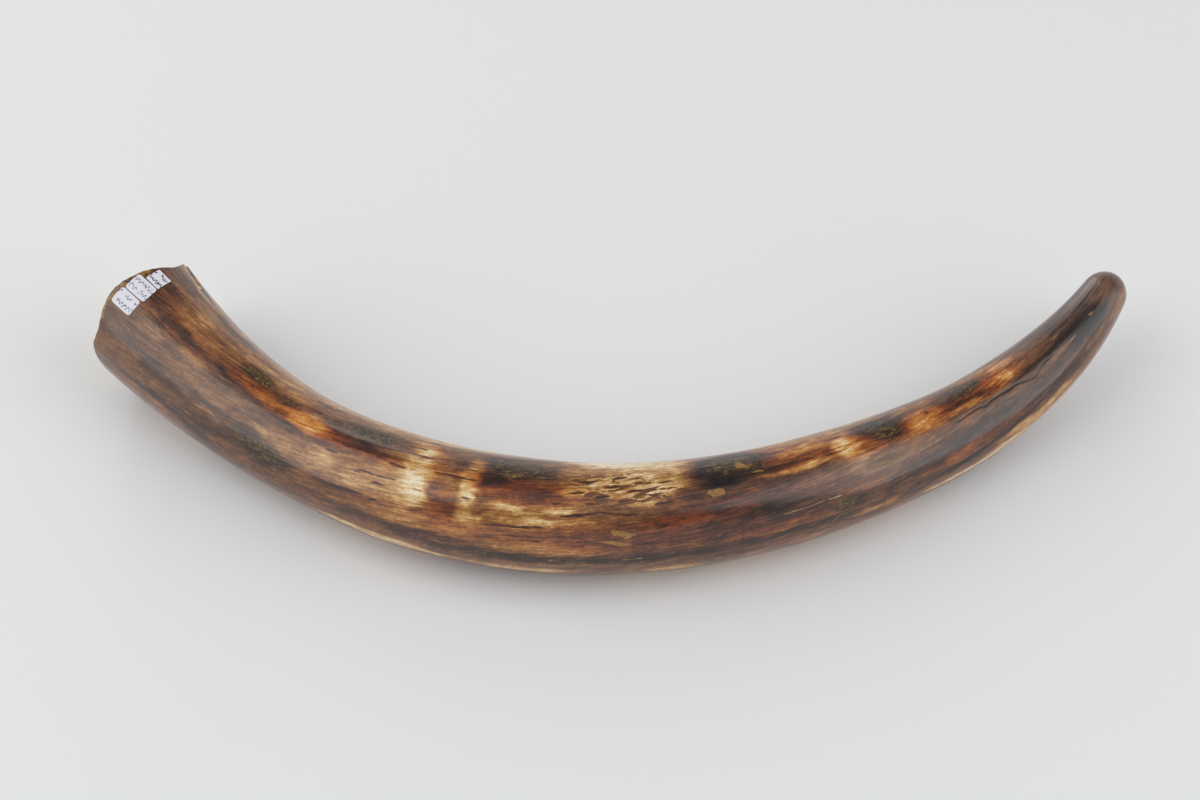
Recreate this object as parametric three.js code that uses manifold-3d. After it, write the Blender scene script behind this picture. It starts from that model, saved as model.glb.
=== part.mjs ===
// A polished mammoth tusk lying on its side, with three small paper labels by its broken end.
// Millimetres, +Z up. The tusk lies on the plane z = 0, and its box is centred on the Z axis.
import * as THREE from "three";
import { mergeVertices } from "three/addons/utils/BufferGeometryUtils.js";
import Module from "manifold-3d";

// The tusk's middle line and thickness. Each list runs at equal steps from the broken end to
// the place where the tip begins to round over, and is smoothed between its values.
const LENGTH = 613; // along the middle line; the outer curve is about 680 long
const HEADINGS = [-49, -38, -28, -3, 11, 28, 34, 57]; // degrees from +X, seen from above
const RADII = [35.5, 30.5, 27, 29.5, 30, 29, 27.5, 26, 23, 20, 12.5];
const UNDERSIDE = [5.5, 0.7, -0.9, 0.4, 0.4, -0.9, 0.4, 0.7, -2, 8.5, 26.5]; // height off the plane
const START = [-257.8, 67.1]; // x and y of the middle line at the broken end
const TIP_REACH = 14; // the rounded tip past the end of the middle line

// How deep the broken end is bitten away, every 20 degrees round from the top over the outer
// curve, and how far along the tusk that waviness dies out.
const BREAK_DEPTHS = [
  -0.6, -3, 0.5, 6.7, 4.8, 9.1, 17.4, 14.5, 8.7, 5.5, 6, 6.3, 4, 1.6, -2.2, -1, 5.1, 1.8,
];
const BREAK_FADE = 45;

// A long chip and a split run in from the rim on the inner curve. Angles are in degrees from
// the top of the tusk, positive over the outer curve.
const CHIP = { along: 0, around: -64, length: 54, width: 5, depth: 1.5, turn: 20 };
const SPLIT = { along: 30, around: -49, length: 26, width: 1, depth: 2.5, turn: 12 };

// The paper labels: where the middle of each lies, by distance along the tusk and by arc length
// round it from the top, and its length along the tusk and width round it.
const LABELS = {
  label_square: { along: 8.8, arc: -7.6, length: 9.4, width: 9.6, corner: 0.4, turn: -5 },
  label_upper: { along: 7.9, arc: 3.3, length: 13.6, width: 10.6, corner: 1.6, turn: -7 },
  label_lower: { along: 8.2, arc: 14.1, length: 13.4, width: 9.8, corner: 1.8, turn: -6 },
};
const LABEL_GAP = 0.3; // between the tusk and the paper
const LABEL_THICKNESS = 0.3;

const RINGS = 62;
const SIDES = 40;
const TIP_RINGS = 4;
const PATH_STEPS = 400;

const IVORY_BARK = { color: 0x5e3f2c, roughness: 0.3, metalness: 0 };
const PAPER = { color: 0xe6e2e8, roughness: 0.8, metalness: 0 };

// A smooth curve through evenly spaced control values, at a share from 0 to 1 along them.
function blended(padded, place) {
  const index = Math.min(Math.floor(place), padded.length - 4);
  const t = place - index;
  const [a, b, c, d] = padded.slice(index, index + 4);
  const early = (1 - t) ** 3 * a + (3 * t ** 3 - 6 * t ** 2 + 4) * b;
  const late = (3 * t ** 2 - 3 * t ** 3 + 3 * t + 1) * c + t ** 3 * d;
  return (early + late) / 6;
}

function eased(values, share) {
  const last = values.length - 1;
  const before = 2 * values[0] - values[1];
  const after = 2 * values[last] - values[last - 1];
  return blended([before, ...values, after], THREE.MathUtils.clamp(share, 0, 1) * last);
}

function easedRound(values, angle) {
  const count = values.length;
  const turn = THREE.MathUtils.euclideanModulo(angle / (2 * Math.PI), 1);
  return blended([values[count - 1], ...values, values[0], values[1]], turn * count);
}

function radiusAt(along) {
  return eased(RADII, along / LENGTH);
}

// The middle line, stepped out from the broken end. It stands a radius above the underside.
function middleLine() {
  const step = LENGTH / PATH_STEPS;
  const heightAt = (share) => eased(RADII, share) + eased(UNDERSIDE, share);
  const places = [new THREE.Vector3(...START, heightAt(0))];
  for (let i = 0; i < PATH_STEPS; i++) {
    const heading = THREE.MathUtils.degToRad(eased(HEADINGS, (i + 0.5) / PATH_STEPS));
    const rise = heightAt((i + 1) / PATH_STEPS) - heightAt(i / PATH_STEPS);
    const level = Math.sqrt(step ** 2 - rise ** 2);
    const move = new THREE.Vector3(Math.cos(heading) * level, Math.sin(heading) * level, rise);
    places.push(places[i].clone().add(move));
  }
  return places;
}

const MIDDLE = middleLine();

function middleAt(along) {
  const place = (along / LENGTH) * PATH_STEPS;
  const index = THREE.MathUtils.clamp(Math.floor(place), 0, PATH_STEPS - 1);
  return MIDDLE[index].clone().lerp(MIDDLE[index + 1], place - index);
}

// Directions at a place on the tusk: forward to the tip, outward from the middle line at an
// angle from the top, and round the tusk towards the outer curve.
function directionsAt(along, angle) {
  const reach = (2 * LENGTH) / PATH_STEPS;
  const forward = middleAt(along + reach).sub(middleAt(along - reach)).normalize();
  const up = new THREE.Vector3(0, 0, 1).addScaledVector(forward, -forward.z).normalize();
  const side = forward.clone().cross(up);
  const out = up.clone().multiplyScalar(Math.cos(angle)).addScaledVector(side, Math.sin(angle));
  return { forward, out, round: forward.clone().cross(out) };
}

const wasm = await Module();
wasm.setup();

function solidOf(geometry) {
  const plain = geometry.clone();
  plain.deleteAttribute("normal");
  plain.deleteAttribute("uv");
  const merged = mergeVertices(plain);
  const vertProperties = merged.attributes.position.array;
  const triVerts = new Uint32Array(merged.index.array);
  return new wasm.Manifold(new wasm.Mesh({ numProp: 3, vertProperties, triVerts }));
}

function meshOf(name, solid, finish) {
  const { vertProperties, triVerts } = solid.getMesh();
  const geometry = new THREE.BufferGeometry();
  geometry.setAttribute("position", new THREE.BufferAttribute(vertProperties, 3));
  geometry.setIndex(new THREE.BufferAttribute(triVerts, 1));
  geometry.computeVertexNormals();
  const mesh = new THREE.Mesh(geometry, new THREE.MeshStandardMaterial(finish));
  mesh.name = name;
  return mesh;
}

// The tusk's outline turned about a straight axis, with its surface raised by skin.
function straightTusk(skin) {
  const outline = [new THREE.Vector2(0, 0), new THREE.Vector2(radiusAt(0) * 0.6, 0)];
  for (let ring = 0; ring <= RINGS; ring++) {
    const along = (LENGTH * ring) / RINGS;
    outline.push(new THREE.Vector2(radiusAt(along) + skin, along));
  }
  for (let ring = 1; ring < TIP_RINGS; ring++) {
    const angle = (Math.PI / 2) * (ring / TIP_RINGS);
    const across = (radiusAt(LENGTH) + skin) * Math.cos(angle);
    outline.push(new THREE.Vector2(across, LENGTH + (TIP_REACH + skin) * Math.sin(angle)));
  }
  outline.push(new THREE.Vector2(0, LENGTH + TIP_REACH + skin));
  return new THREE.LatheGeometry(outline, SIDES);
}

// Bends the straight tusk onto its middle line, and bites its broken end away.
function tuskSolid(skin) {
  const straight = straightTusk(skin);
  straight.deleteAttribute("normal");
  straight.deleteAttribute("uv");
  const geometry = mergeVertices(straight);
  const places = geometry.attributes.position;
  for (let i = 0; i < places.count; i++) {
    const across = Math.hypot(places.getX(i), places.getZ(i));
    const angle = Math.atan2(places.getX(i), places.getZ(i));
    const fade = Math.max(0, 1 - places.getY(i) / BREAK_FADE) * (across / RADII[0]);
    const along = places.getY(i) + easedRound(BREAK_DEPTHS, angle) * fade;
    const reach = (across * radiusAt(along)) / radiusAt(places.getY(i));
    const place = middleAt(along).addScaledVector(directionsAt(along, angle).out, reach);
    places.setXYZ(i, ...place);
  }
  return solidOf(geometry);
}

// Sets a shape on the tusk's surface: its X lies along the tusk, turned by some degrees
// towards the outer curve, and its Z points outward.
function setOnTusk(geometry, along, angle, turn) {
  const { forward, out, round } = directionsAt(along, angle);
  const seat = middleAt(along).addScaledVector(out, radiusAt(along));
  const frame = new THREE.Matrix4().makeBasis(forward, round.negate(), out).setPosition(seat);
  geometry.rotateZ(THREE.MathUtils.degToRad(-turn));
  geometry.applyMatrix4(frame);
  return geometry;
}

// A slim lens-shaped cut that runs along the tusk and tapers at both ends.
function surfaceCut({ along, around, length, width, depth, turn }) {
  const lens = new THREE.SphereGeometry(1, 12, 6);
  lens.scale(length / 2, width / 2, depth);
  return solidOf(setOnTusk(lens, along, THREE.MathUtils.degToRad(around), turn));
}

function roundedSheet(length, width, corner) {
  const [x, y] = [length / 2, width / 2];
  const shape = new THREE.Shape();
  shape.moveTo(-x + corner, -y);
  shape.lineTo(x - corner, -y);
  shape.quadraticCurveTo(x, -y, x, -y + corner);
  shape.lineTo(x, y - corner);
  shape.quadraticCurveTo(x, y, x - corner, y);
  shape.lineTo(-x + corner, y);
  shape.quadraticCurveTo(-x, y, -x, y - corner);
  shape.lineTo(-x, -y + corner);
  shape.quadraticCurveTo(-x, -y, -x + corner, -y);
  return shape;
}

// Paper that follows the tusk's surface: a layer of it, trimmed by a rounded block.
function labelSolid({ along, arc, length, width, corner, turn }, layer) {
  const reach = RADII[0] / 3;
  const shape = roundedSheet(length, width, corner);
  const block = new THREE.ExtrudeGeometry(shape, { depth: reach, bevelEnabled: false, curveSegments: 4 });
  block.translate(0, 0, -reach / 2);
  return layer.intersect(solidOf(setOnTusk(block, along, arc / radiusAt(along), turn)));
}

// Everything below the plane that the tusk lies on, which leaves worn flats where it touches.
function belowThePlane() {
  const block = new THREE.BoxGeometry(2 * LENGTH, LENGTH, RADII[0]);
  block.translate(0, 0, -RADII[0] / 2);
  return solidOf(block);
}

const group = new THREE.Group();

const tusk = tuskSolid(0)
  .subtract(belowThePlane())
  .subtract(surfaceCut(CHIP))
  .subtract(surfaceCut(SPLIT));
group.add(meshOf("tusk", tusk, IVORY_BARK));

const paperLayer = tuskSolid(LABEL_GAP + LABEL_THICKNESS).subtract(tuskSolid(LABEL_GAP));
for (const [name, label] of Object.entries(LABELS)) {
  group.add(meshOf(name, labelSolid(label, paperLayer), PAPER));
}

export default group;
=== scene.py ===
"""A polished mammoth tusk lying on its side, with three small paper labels by its broken end.

Metres, +Z up. The tusk is modelled straight along X, then bent onto the middle line that the
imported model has, so that it fills the same space.
"""

import math

import bpy
import numpy as np
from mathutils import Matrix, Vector, noise


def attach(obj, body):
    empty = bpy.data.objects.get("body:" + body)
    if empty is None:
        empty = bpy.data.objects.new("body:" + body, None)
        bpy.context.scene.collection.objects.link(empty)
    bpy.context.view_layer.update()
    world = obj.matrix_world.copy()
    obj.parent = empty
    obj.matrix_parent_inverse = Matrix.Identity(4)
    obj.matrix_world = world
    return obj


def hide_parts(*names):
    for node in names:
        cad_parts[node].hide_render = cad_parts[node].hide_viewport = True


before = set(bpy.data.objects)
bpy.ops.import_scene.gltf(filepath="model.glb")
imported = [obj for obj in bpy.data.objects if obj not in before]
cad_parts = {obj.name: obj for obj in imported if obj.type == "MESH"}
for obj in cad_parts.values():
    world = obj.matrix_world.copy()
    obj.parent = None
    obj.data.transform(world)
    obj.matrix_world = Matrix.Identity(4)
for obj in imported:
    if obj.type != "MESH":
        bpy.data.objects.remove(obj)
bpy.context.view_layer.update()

MM = 0.001

# The tusk's middle line and thickness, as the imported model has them. Headings are in degrees,
# and the rest is in millimetres. The break's depths run round the base from the top.
LENGTH = 613
HEADINGS = [-49, -38, -28, -3, 11, 28, 34, 57]
RADII = [35.5, 30.5, 27, 29.5, 30, 29, 27.5, 26, 23, 20, 12.5]
UNDERSIDE = [5.5, 0.7, -0.9, 0.4, 0.4, -0.9, 0.4, 0.7, -2, 8.5, 26.5]
START = (-257.8, 67.1)
TIP_REACH = 14
BREAK_DEPTHS = [
    -0.6, -3, 0.5, 6.7, 4.8, 9.1, 17.4, 14.5, 8.7, 5.5, 6, 6.3, 4, 1.6, -2.2, -1, 5.1, 1.8,
]
BREAK_FADE = 45
PATH_STEPS = 400

# The cage that the skin is smoothed from.
CAGE_SIDES = 56
CAGE_RINGS = 90
TIP_RINGS = 5
RIM_EDGE = 0.9
FACE_INSETS = [0.9, 2.5, 5, 7, 7, 7]
SMOOTHINGS = 2
LAST_RING = 0.05  # of the tip's radius, before it is closed to a point
FACE_REACH = 0.8  # mm from the end within which the surface belongs to the broken face
FACE_STARTS = 0.2  # mm in from the rim
FACE_TAKES_OVER = 0.9  # mm


# ---- Camera, floor and light ------------------------------------------------------------

def linear(hex_colour):
    """An sRGB hex colour as linear red, green, blue and a full alpha."""
    parts = [int(hex_colour[i:i + 2], 16) / 255 for i in (1, 3, 5)]
    turned = [p / 12.92 if p <= 0.04045 else ((p + 0.055) / 1.055) ** 2.4 for p in parts]
    return (*turned, 1.0)


def add_node(tree, kind, settings=None, inputs=None):
    """Adds a node, sets its settings, and links or fills its inputs."""
    made = tree.nodes.new(kind)
    for name, value in (settings or {}).items():
        setattr(made, name, value)
    for socket, value in (inputs or {}).items():
        if isinstance(value, bpy.types.NodeSocket):
            tree.links.new(value, made.inputs[socket])
        else:
            made.inputs[socket].default_value = value
    return made


def new_material(name):
    """An empty node material and its shader."""
    material = bpy.data.materials.new(name)
    material.use_nodes = True
    tree = material.node_tree
    tree.nodes.clear()
    shader = add_node(tree, "ShaderNodeBsdfPrincipled")
    output = add_node(tree, "ShaderNodeOutputMaterial")
    tree.links.new(shader.outputs["BSDF"], output.inputs["Surface"])
    return material, tree, shader


CAMERA_TARGET = Vector((-0.0079, 0.0139, 0.030))
CAMERA_DISTANCE = 1.513
CAMERA_ELEVATION = math.radians(52)

camera_back = Vector((0, -math.cos(CAMERA_ELEVATION), math.sin(CAMERA_ELEVATION)))
camera_data = bpy.data.cameras.new("camera")
camera_data.lens = 85
camera_data.sensor_width = 36
camera = bpy.data.objects.new("camera", camera_data)
camera.location = CAMERA_TARGET + camera_back * CAMERA_DISTANCE
camera.rotation_euler = (math.pi / 2 - CAMERA_ELEVATION, 0, 0)
bpy.context.scene.collection.objects.link(camera)
bpy.context.scene.camera = camera
bpy.context.scene.view_settings.view_transform = "Standard"


PANEL_DISTANCE = 2.2


def soft_panel(name, power, size, lean, turn=0):
    """A wide panel of light that faces the tusk. It leans down from overhead to the front, then
    turns round the tusk, in degrees."""
    data = bpy.data.lights.new(name, "AREA")
    data.shape = "RECTANGLE"
    data.size = size[0]
    data.size_y = size[1]
    data.energy = power
    panel = bpy.data.objects.new(name, data)
    direction = Vector((
        math.sin(math.radians(turn)) * math.sin(math.radians(lean)),
        -math.cos(math.radians(turn)) * math.sin(math.radians(lean)),
        math.cos(math.radians(lean)),
    ))
    panel.location = direction * PANEL_DISTANCE
    panel.rotation_euler = direction.to_track_quat("Z", "Y").to_euler()
    bpy.context.scene.collection.objects.link(panel)


soft_panel("overhead_panel", power=4.2, size=(2.4, 1.6), lean=6)
soft_panel("left_panel", power=22, size=(2.4, 2.3), lean=49, turn=-84)
soft_panel("right_panel", power=19, size=(2.0, 2.3), lean=53, turn=73)
soft_panel("back_strip", power=5.5, size=(0.7, 1.6), lean=66, turn=-162)

# The room is bright near the horizon and dimmer overhead, so the polish shows pale edges.
ROOM_AT_HORIZON = 0.91
ROOM_OVERHEAD = 0.27

world = bpy.data.worlds.new("room")
world.use_nodes = True
room_light = world.node_tree.nodes["Background"]
room_light.inputs["Color"].default_value = linear("#f3f4f6")
look = add_node(world.node_tree, "ShaderNodeTexCoord")
look_up = add_node(
    world.node_tree, "ShaderNodeSeparateXYZ", None, {0: look.outputs["Generated"]}
)
room_fall = add_node(
    world.node_tree, "ShaderNodeMapRange", {"interpolation_type": "SMOOTHSTEP"},
    {"Value": look_up.outputs["Z"], "From Min": 0.2, "From Max": 0.66,
     "To Min": ROOM_AT_HORIZON, "To Max": ROOM_OVERHEAD},
)
world.node_tree.links.new(room_fall.outputs["Result"], room_light.inputs["Strength"])
bpy.context.scene.world = world

bpy.ops.object.select_all(action="DESELECT")
bpy.ops.mesh.primitive_plane_add(size=12)
floor = bpy.context.object
floor.name = "floor"
table, _, table_shader = new_material("matte pale table top")
table_shader.inputs["Base Color"].default_value = linear("#f0f1f1")
table_shader.inputs["Roughness"].default_value = 0.9
floor.data.materials.append(table)


# ---- The tusk's middle line -------------------------------------------------------------

def blended(padded, place):
    """A smooth curve that eases past evenly spaced values, at places counted in values."""
    index = np.minimum(np.floor(place).astype(int), len(padded) - 4)
    t = place - index
    first, second, third, fourth = (padded[index + step] for step in range(4))
    early = (1 - t) ** 3 * first + (3 * t**3 - 6 * t**2 + 4) * second
    late = (3 * t**2 - 3 * t**3 + 3 * t + 1) * third + t**3 * fourth
    return (early + late) / 6


def eased(values, share):
    """The curve that eases past values, at shares from 0 to 1 along it."""
    first = 2 * values[0] - values[1]
    last = 2 * values[-1] - values[-2]
    return blended(np.array([first, *values, last]), np.clip(share, 0, 1) * (len(values) - 1))


def eased_round(values, angle):
    """The closed curve that eases past values, at angles in radians."""
    turn = np.mod(angle / (2 * math.pi), 1)
    return blended(np.array([values[-1], *values, values[0], values[1]]), turn * len(values))


def radius_at(along):
    return eased(RADII, np.asarray(along, float) / LENGTH)


def middle_line():
    shares = np.arange(PATH_STEPS + 1) / PATH_STEPS
    height = eased(RADII, shares) + eased(UNDERSIDE, shares)
    heading = np.radians(eased(HEADINGS, (np.arange(PATH_STEPS) + 0.5) / PATH_STEPS))
    level = np.sqrt((LENGTH / PATH_STEPS) ** 2 - np.diff(height) ** 2)
    x = START[0] + np.concatenate([[0], np.cumsum(np.cos(heading) * level)])
    y = START[1] + np.concatenate([[0], np.cumsum(np.sin(heading) * level)])
    return np.stack([x, y, height], axis=1)


MIDDLE = middle_line()


def middle_at(along):
    place = np.asarray(along, float) / LENGTH * PATH_STEPS
    index = np.clip(np.floor(place).astype(int), 0, PATH_STEPS - 1)
    share = (place - index)[:, None]
    return MIDDLE[index] * (1 - share) + MIDDLE[index + 1] * share


def bent(along, angle, reach):
    """Places in the room for points given along the tusk, round it, and out from its middle."""
    step = 2 * LENGTH / PATH_STEPS
    forward = middle_at(along + step) - middle_at(along - step)
    forward /= np.linalg.norm(forward, axis=1)[:, None]
    up = np.array([0, 0, 1.0]) - forward * forward[:, 2:]
    up /= np.linalg.norm(up, axis=1)[:, None]
    side = np.cross(forward, up)
    out = up * np.cos(angle)[:, None] + side * np.sin(angle)[:, None]
    return middle_at(along) + out * reach[:, None]


# ---- Helpers for meshes -----------------------------------------------------------------

def read_places(piece):
    """A mesh's vertices in millimetres."""
    flat = np.zeros(len(piece.data.vertices) * 3)
    piece.data.vertices.foreach_get("co", flat)
    return flat.reshape(-1, 3) / MM


def write_places(piece, places):
    piece.data.vertices.foreach_set("co", (places * MM).ravel())
    piece.data.update()


def write_attribute(piece, name, values):
    kind, key = ("FLOAT", "value") if values.ndim == 1 else ("FLOAT_VECTOR", "vector")
    attribute = piece.data.attributes.new(name, kind, "POINT")
    attribute.data.foreach_set(key, values.astype(np.float32).ravel())


def noise_over(points, seed):
    """Smooth noise from about -1 to 1, with features about one unit across."""
    shift = Vector((seed * 17.3, seed * 5.1, seed * 9.7))
    return np.array([noise.noise(Vector(point) + shift) for point in points])


def waves(places, height, length, width, seed):
    """Smooth noise up to a height, with features of a length and a width in mm."""
    return height * noise_over(places / (length, width, width), seed)


def edit(piece):
    bpy.ops.object.select_all(action="DESELECT")
    bpy.context.view_layer.objects.active = piece
    piece.select_set(True)
    bpy.ops.object.mode_set(mode="EDIT")


def apply_modifier(piece, kind, **settings):
    modifier = piece.modifiers.new(kind.lower(), kind)
    for name, value in settings.items():
        setattr(modifier, name, value)
    bpy.context.view_layer.objects.active = piece
    bpy.ops.object.modifier_apply(modifier=modifier.name)


# ---- The straight tusk ------------------------------------------------------------------

def straight_tusk():
    """The tusk before it is bent: a round bar drawn out station by station along X."""
    bpy.ops.object.select_all(action="DESELECT")
    bpy.ops.mesh.primitive_circle_add(
        vertices=CAGE_SIDES, radius=float(radius_at(0)) * MM, fill_type="NGON",
        rotation=(0, math.pi / 2, 0),
    )
    piece = bpy.context.object
    piece.name = "tusk_polished"
    bpy.ops.object.transform_apply(location=False, rotation=True, scale=False)
    stations = [(0, float(radius_at(0))), (RIM_EDGE, float(radius_at(RIM_EDGE)))]
    for ring in range(1, CAGE_RINGS + 1):
        along = LENGTH * ring / CAGE_RINGS
        stations.append((along, float(radius_at(along))))
    for ring in range(1, TIP_RINGS + 1):
        angle = math.pi / 2 * ring / (TIP_RINGS + 1)
        across = RADII[-1] * math.cos(angle)
        stations.append((LENGTH + TIP_REACH * math.sin(angle), across))
    stations.append((LENGTH + TIP_REACH, RADII[-1] * LAST_RING))

    edit(piece)
    bpy.ops.mesh.select_all(action="SELECT")
    for (here, across), (ahead, next_across) in zip(stations, stations[1:]):
        bpy.ops.mesh.extrude_region_move(
            TRANSFORM_OT_translate={"value": ((ahead - here) * MM, 0, 0)}
        )
        ratio = next_across / across
        bpy.ops.transform.resize(value=(1, ratio, ratio), center_override=(ahead * MM, 0, 0))
    bpy.ops.mesh.merge(type="CENTER")

    # The broken end is inset ring by ring to its middle.
    bpy.ops.mesh.select_all(action="DESELECT")
    bpy.ops.object.mode_set(mode="OBJECT")
    for face in piece.data.polygons:
        face.select = face.normal.x < -0.9 and face.center.x < 1e-5
    bpy.ops.object.mode_set(mode="EDIT")
    bpy.ops.mesh.select_mode(type="FACE")
    for thickness in FACE_INSETS:
        bpy.ops.mesh.inset(thickness=thickness * MM, depth=0)
    bpy.ops.mesh.merge(type="CENTER")
    bpy.ops.mesh.select_all(action="SELECT")
    bpy.ops.mesh.normals_make_consistent(inside=False)
    bpy.ops.object.mode_set(mode="OBJECT")
    apply_modifier(
        piece, "SUBSURF", levels=SMOOTHINGS, render_levels=SMOOTHINGS,
        boundary_smooth="PRESERVE_CORNERS",
    )
    bpy.ops.object.shade_smooth()
    return piece


tusk = straight_tusk()
straight = read_places(tusk)
across = np.hypot(straight[:, 1], straight[:, 2])
angle = np.arctan2(-straight[:, 1], straight[:, 2])
full_radius = radius_at(straight[:, 0])

# How far a point is on the broken end face rather than on the skin, from 0 to 1.
near_end = straight[:, 0] < FACE_REACH
inside_rim = np.clip((RADII[0] - FACE_STARTS - across) / FACE_TAKES_OVER, 0, 1)
end_face = np.where(near_end, inside_rim, 0)

# The broken end is bitten away unevenly, and the bites die out along the tusk.
fade = np.maximum(0, 1 - straight[:, 0] / BREAK_FADE) * across / RADII[0]
along = straight[:, 0] + eased_round(BREAK_DEPTHS, angle) * fade
around = np.degrees(angle)


# ---- The marks painted on the tusk ------------------------------------------------------

LINE_EDGE = 5  # mm over which a line's mark rises and falls

GRAIN_RADIUS = 27  # mm, the same all along, so that streaks keep their width
GRAIN_TWIST = 0.2  # degrees of turn for each mm along


def grain_places(along_mm, around_deg, share):
    """Places in mm on a straight, even bar, for patterns that follow the tusk's growth."""
    turned = np.radians(around_deg + GRAIN_TWIST * along_mm)
    sideways = GRAIN_RADIUS * share * np.sin(turned)
    upward = GRAIN_RADIUS * share * np.cos(turned)
    return np.stack([along_mm, sideways, upward], axis=1)


share_across = np.minimum(1, across / np.maximum(full_radius, 1e-6))
grain = grain_places(along, around, np.where(near_end, share_across, 1))

# Stains wander, so the patches are painted through a gentle warp.
warped_along = along + waves(grain, height=3.0, length=13, width=5, seed=11)
warped_along += waves(grain, height=1.8, length=5, width=2.2, seed=13)
warped_around = around + waves(grain, height=4.5, length=19, width=5, seed=12)
warped_around += waves(grain, height=2.4, length=7, width=2.2, seed=14)
line_wander = waves(grain, height=0.55, length=4, width=2, seed=15)


def half_turn(degrees):
    return np.mod(degrees + 180, 360) - 180


def patch(name, place, beside, length, width, strength=1.0, slant=0.0):
    """Paints a soft oval, by its half length in mm and its half width in degrees, where it has
    faded to a half. Slant is in degrees round for each mm along."""
    ahead = warped_along - place
    sideways = half_turn(warped_around - beside - slant * ahead)
    inside = np.clip(1.5 - np.hypot(ahead / length, sideways / width), 0, 1)
    painted = strength * inside**2 * (3 - 2 * inside) * (end_face < 0.5)
    marks[name] = 1 - (1 - marks[name]) * (1 - painted)


def line(name, points, half_width=0.5):
    """Paints a thin line through points of (along, around), tapering to its ends."""
    arc = np.radians(around) * full_radius + line_wander
    path = [(a, math.radians(b) * float(radius_at(a))) for a, b in points]
    lengths = [math.dist(start, end) for start, end in zip(path, path[1:])]
    total = sum(lengths)
    gone = 0
    for (start, end), length in zip(zip(path, path[1:]), lengths):
        step = ((end[0] - start[0]) / length, (end[1] - start[1]) / length)
        run = np.clip((along - start[0]) * step[0] + (arc - start[1]) * step[1], 0, length)
        distance = np.hypot(along - start[0] - step[0] * run, arc - start[1] - step[1] * run)
        share = (gone + run) / total
        taper = half_width * (0.35 + 0.65 * np.minimum(1, 5 * np.minimum(share, 1 - share)))
        painted = np.clip(0.5 + (taper - distance) / LINE_EDGE, 0, 1) * (end_face < 0.5)
        marks[name] = np.maximum(marks[name], painted)
        gone += length


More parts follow.
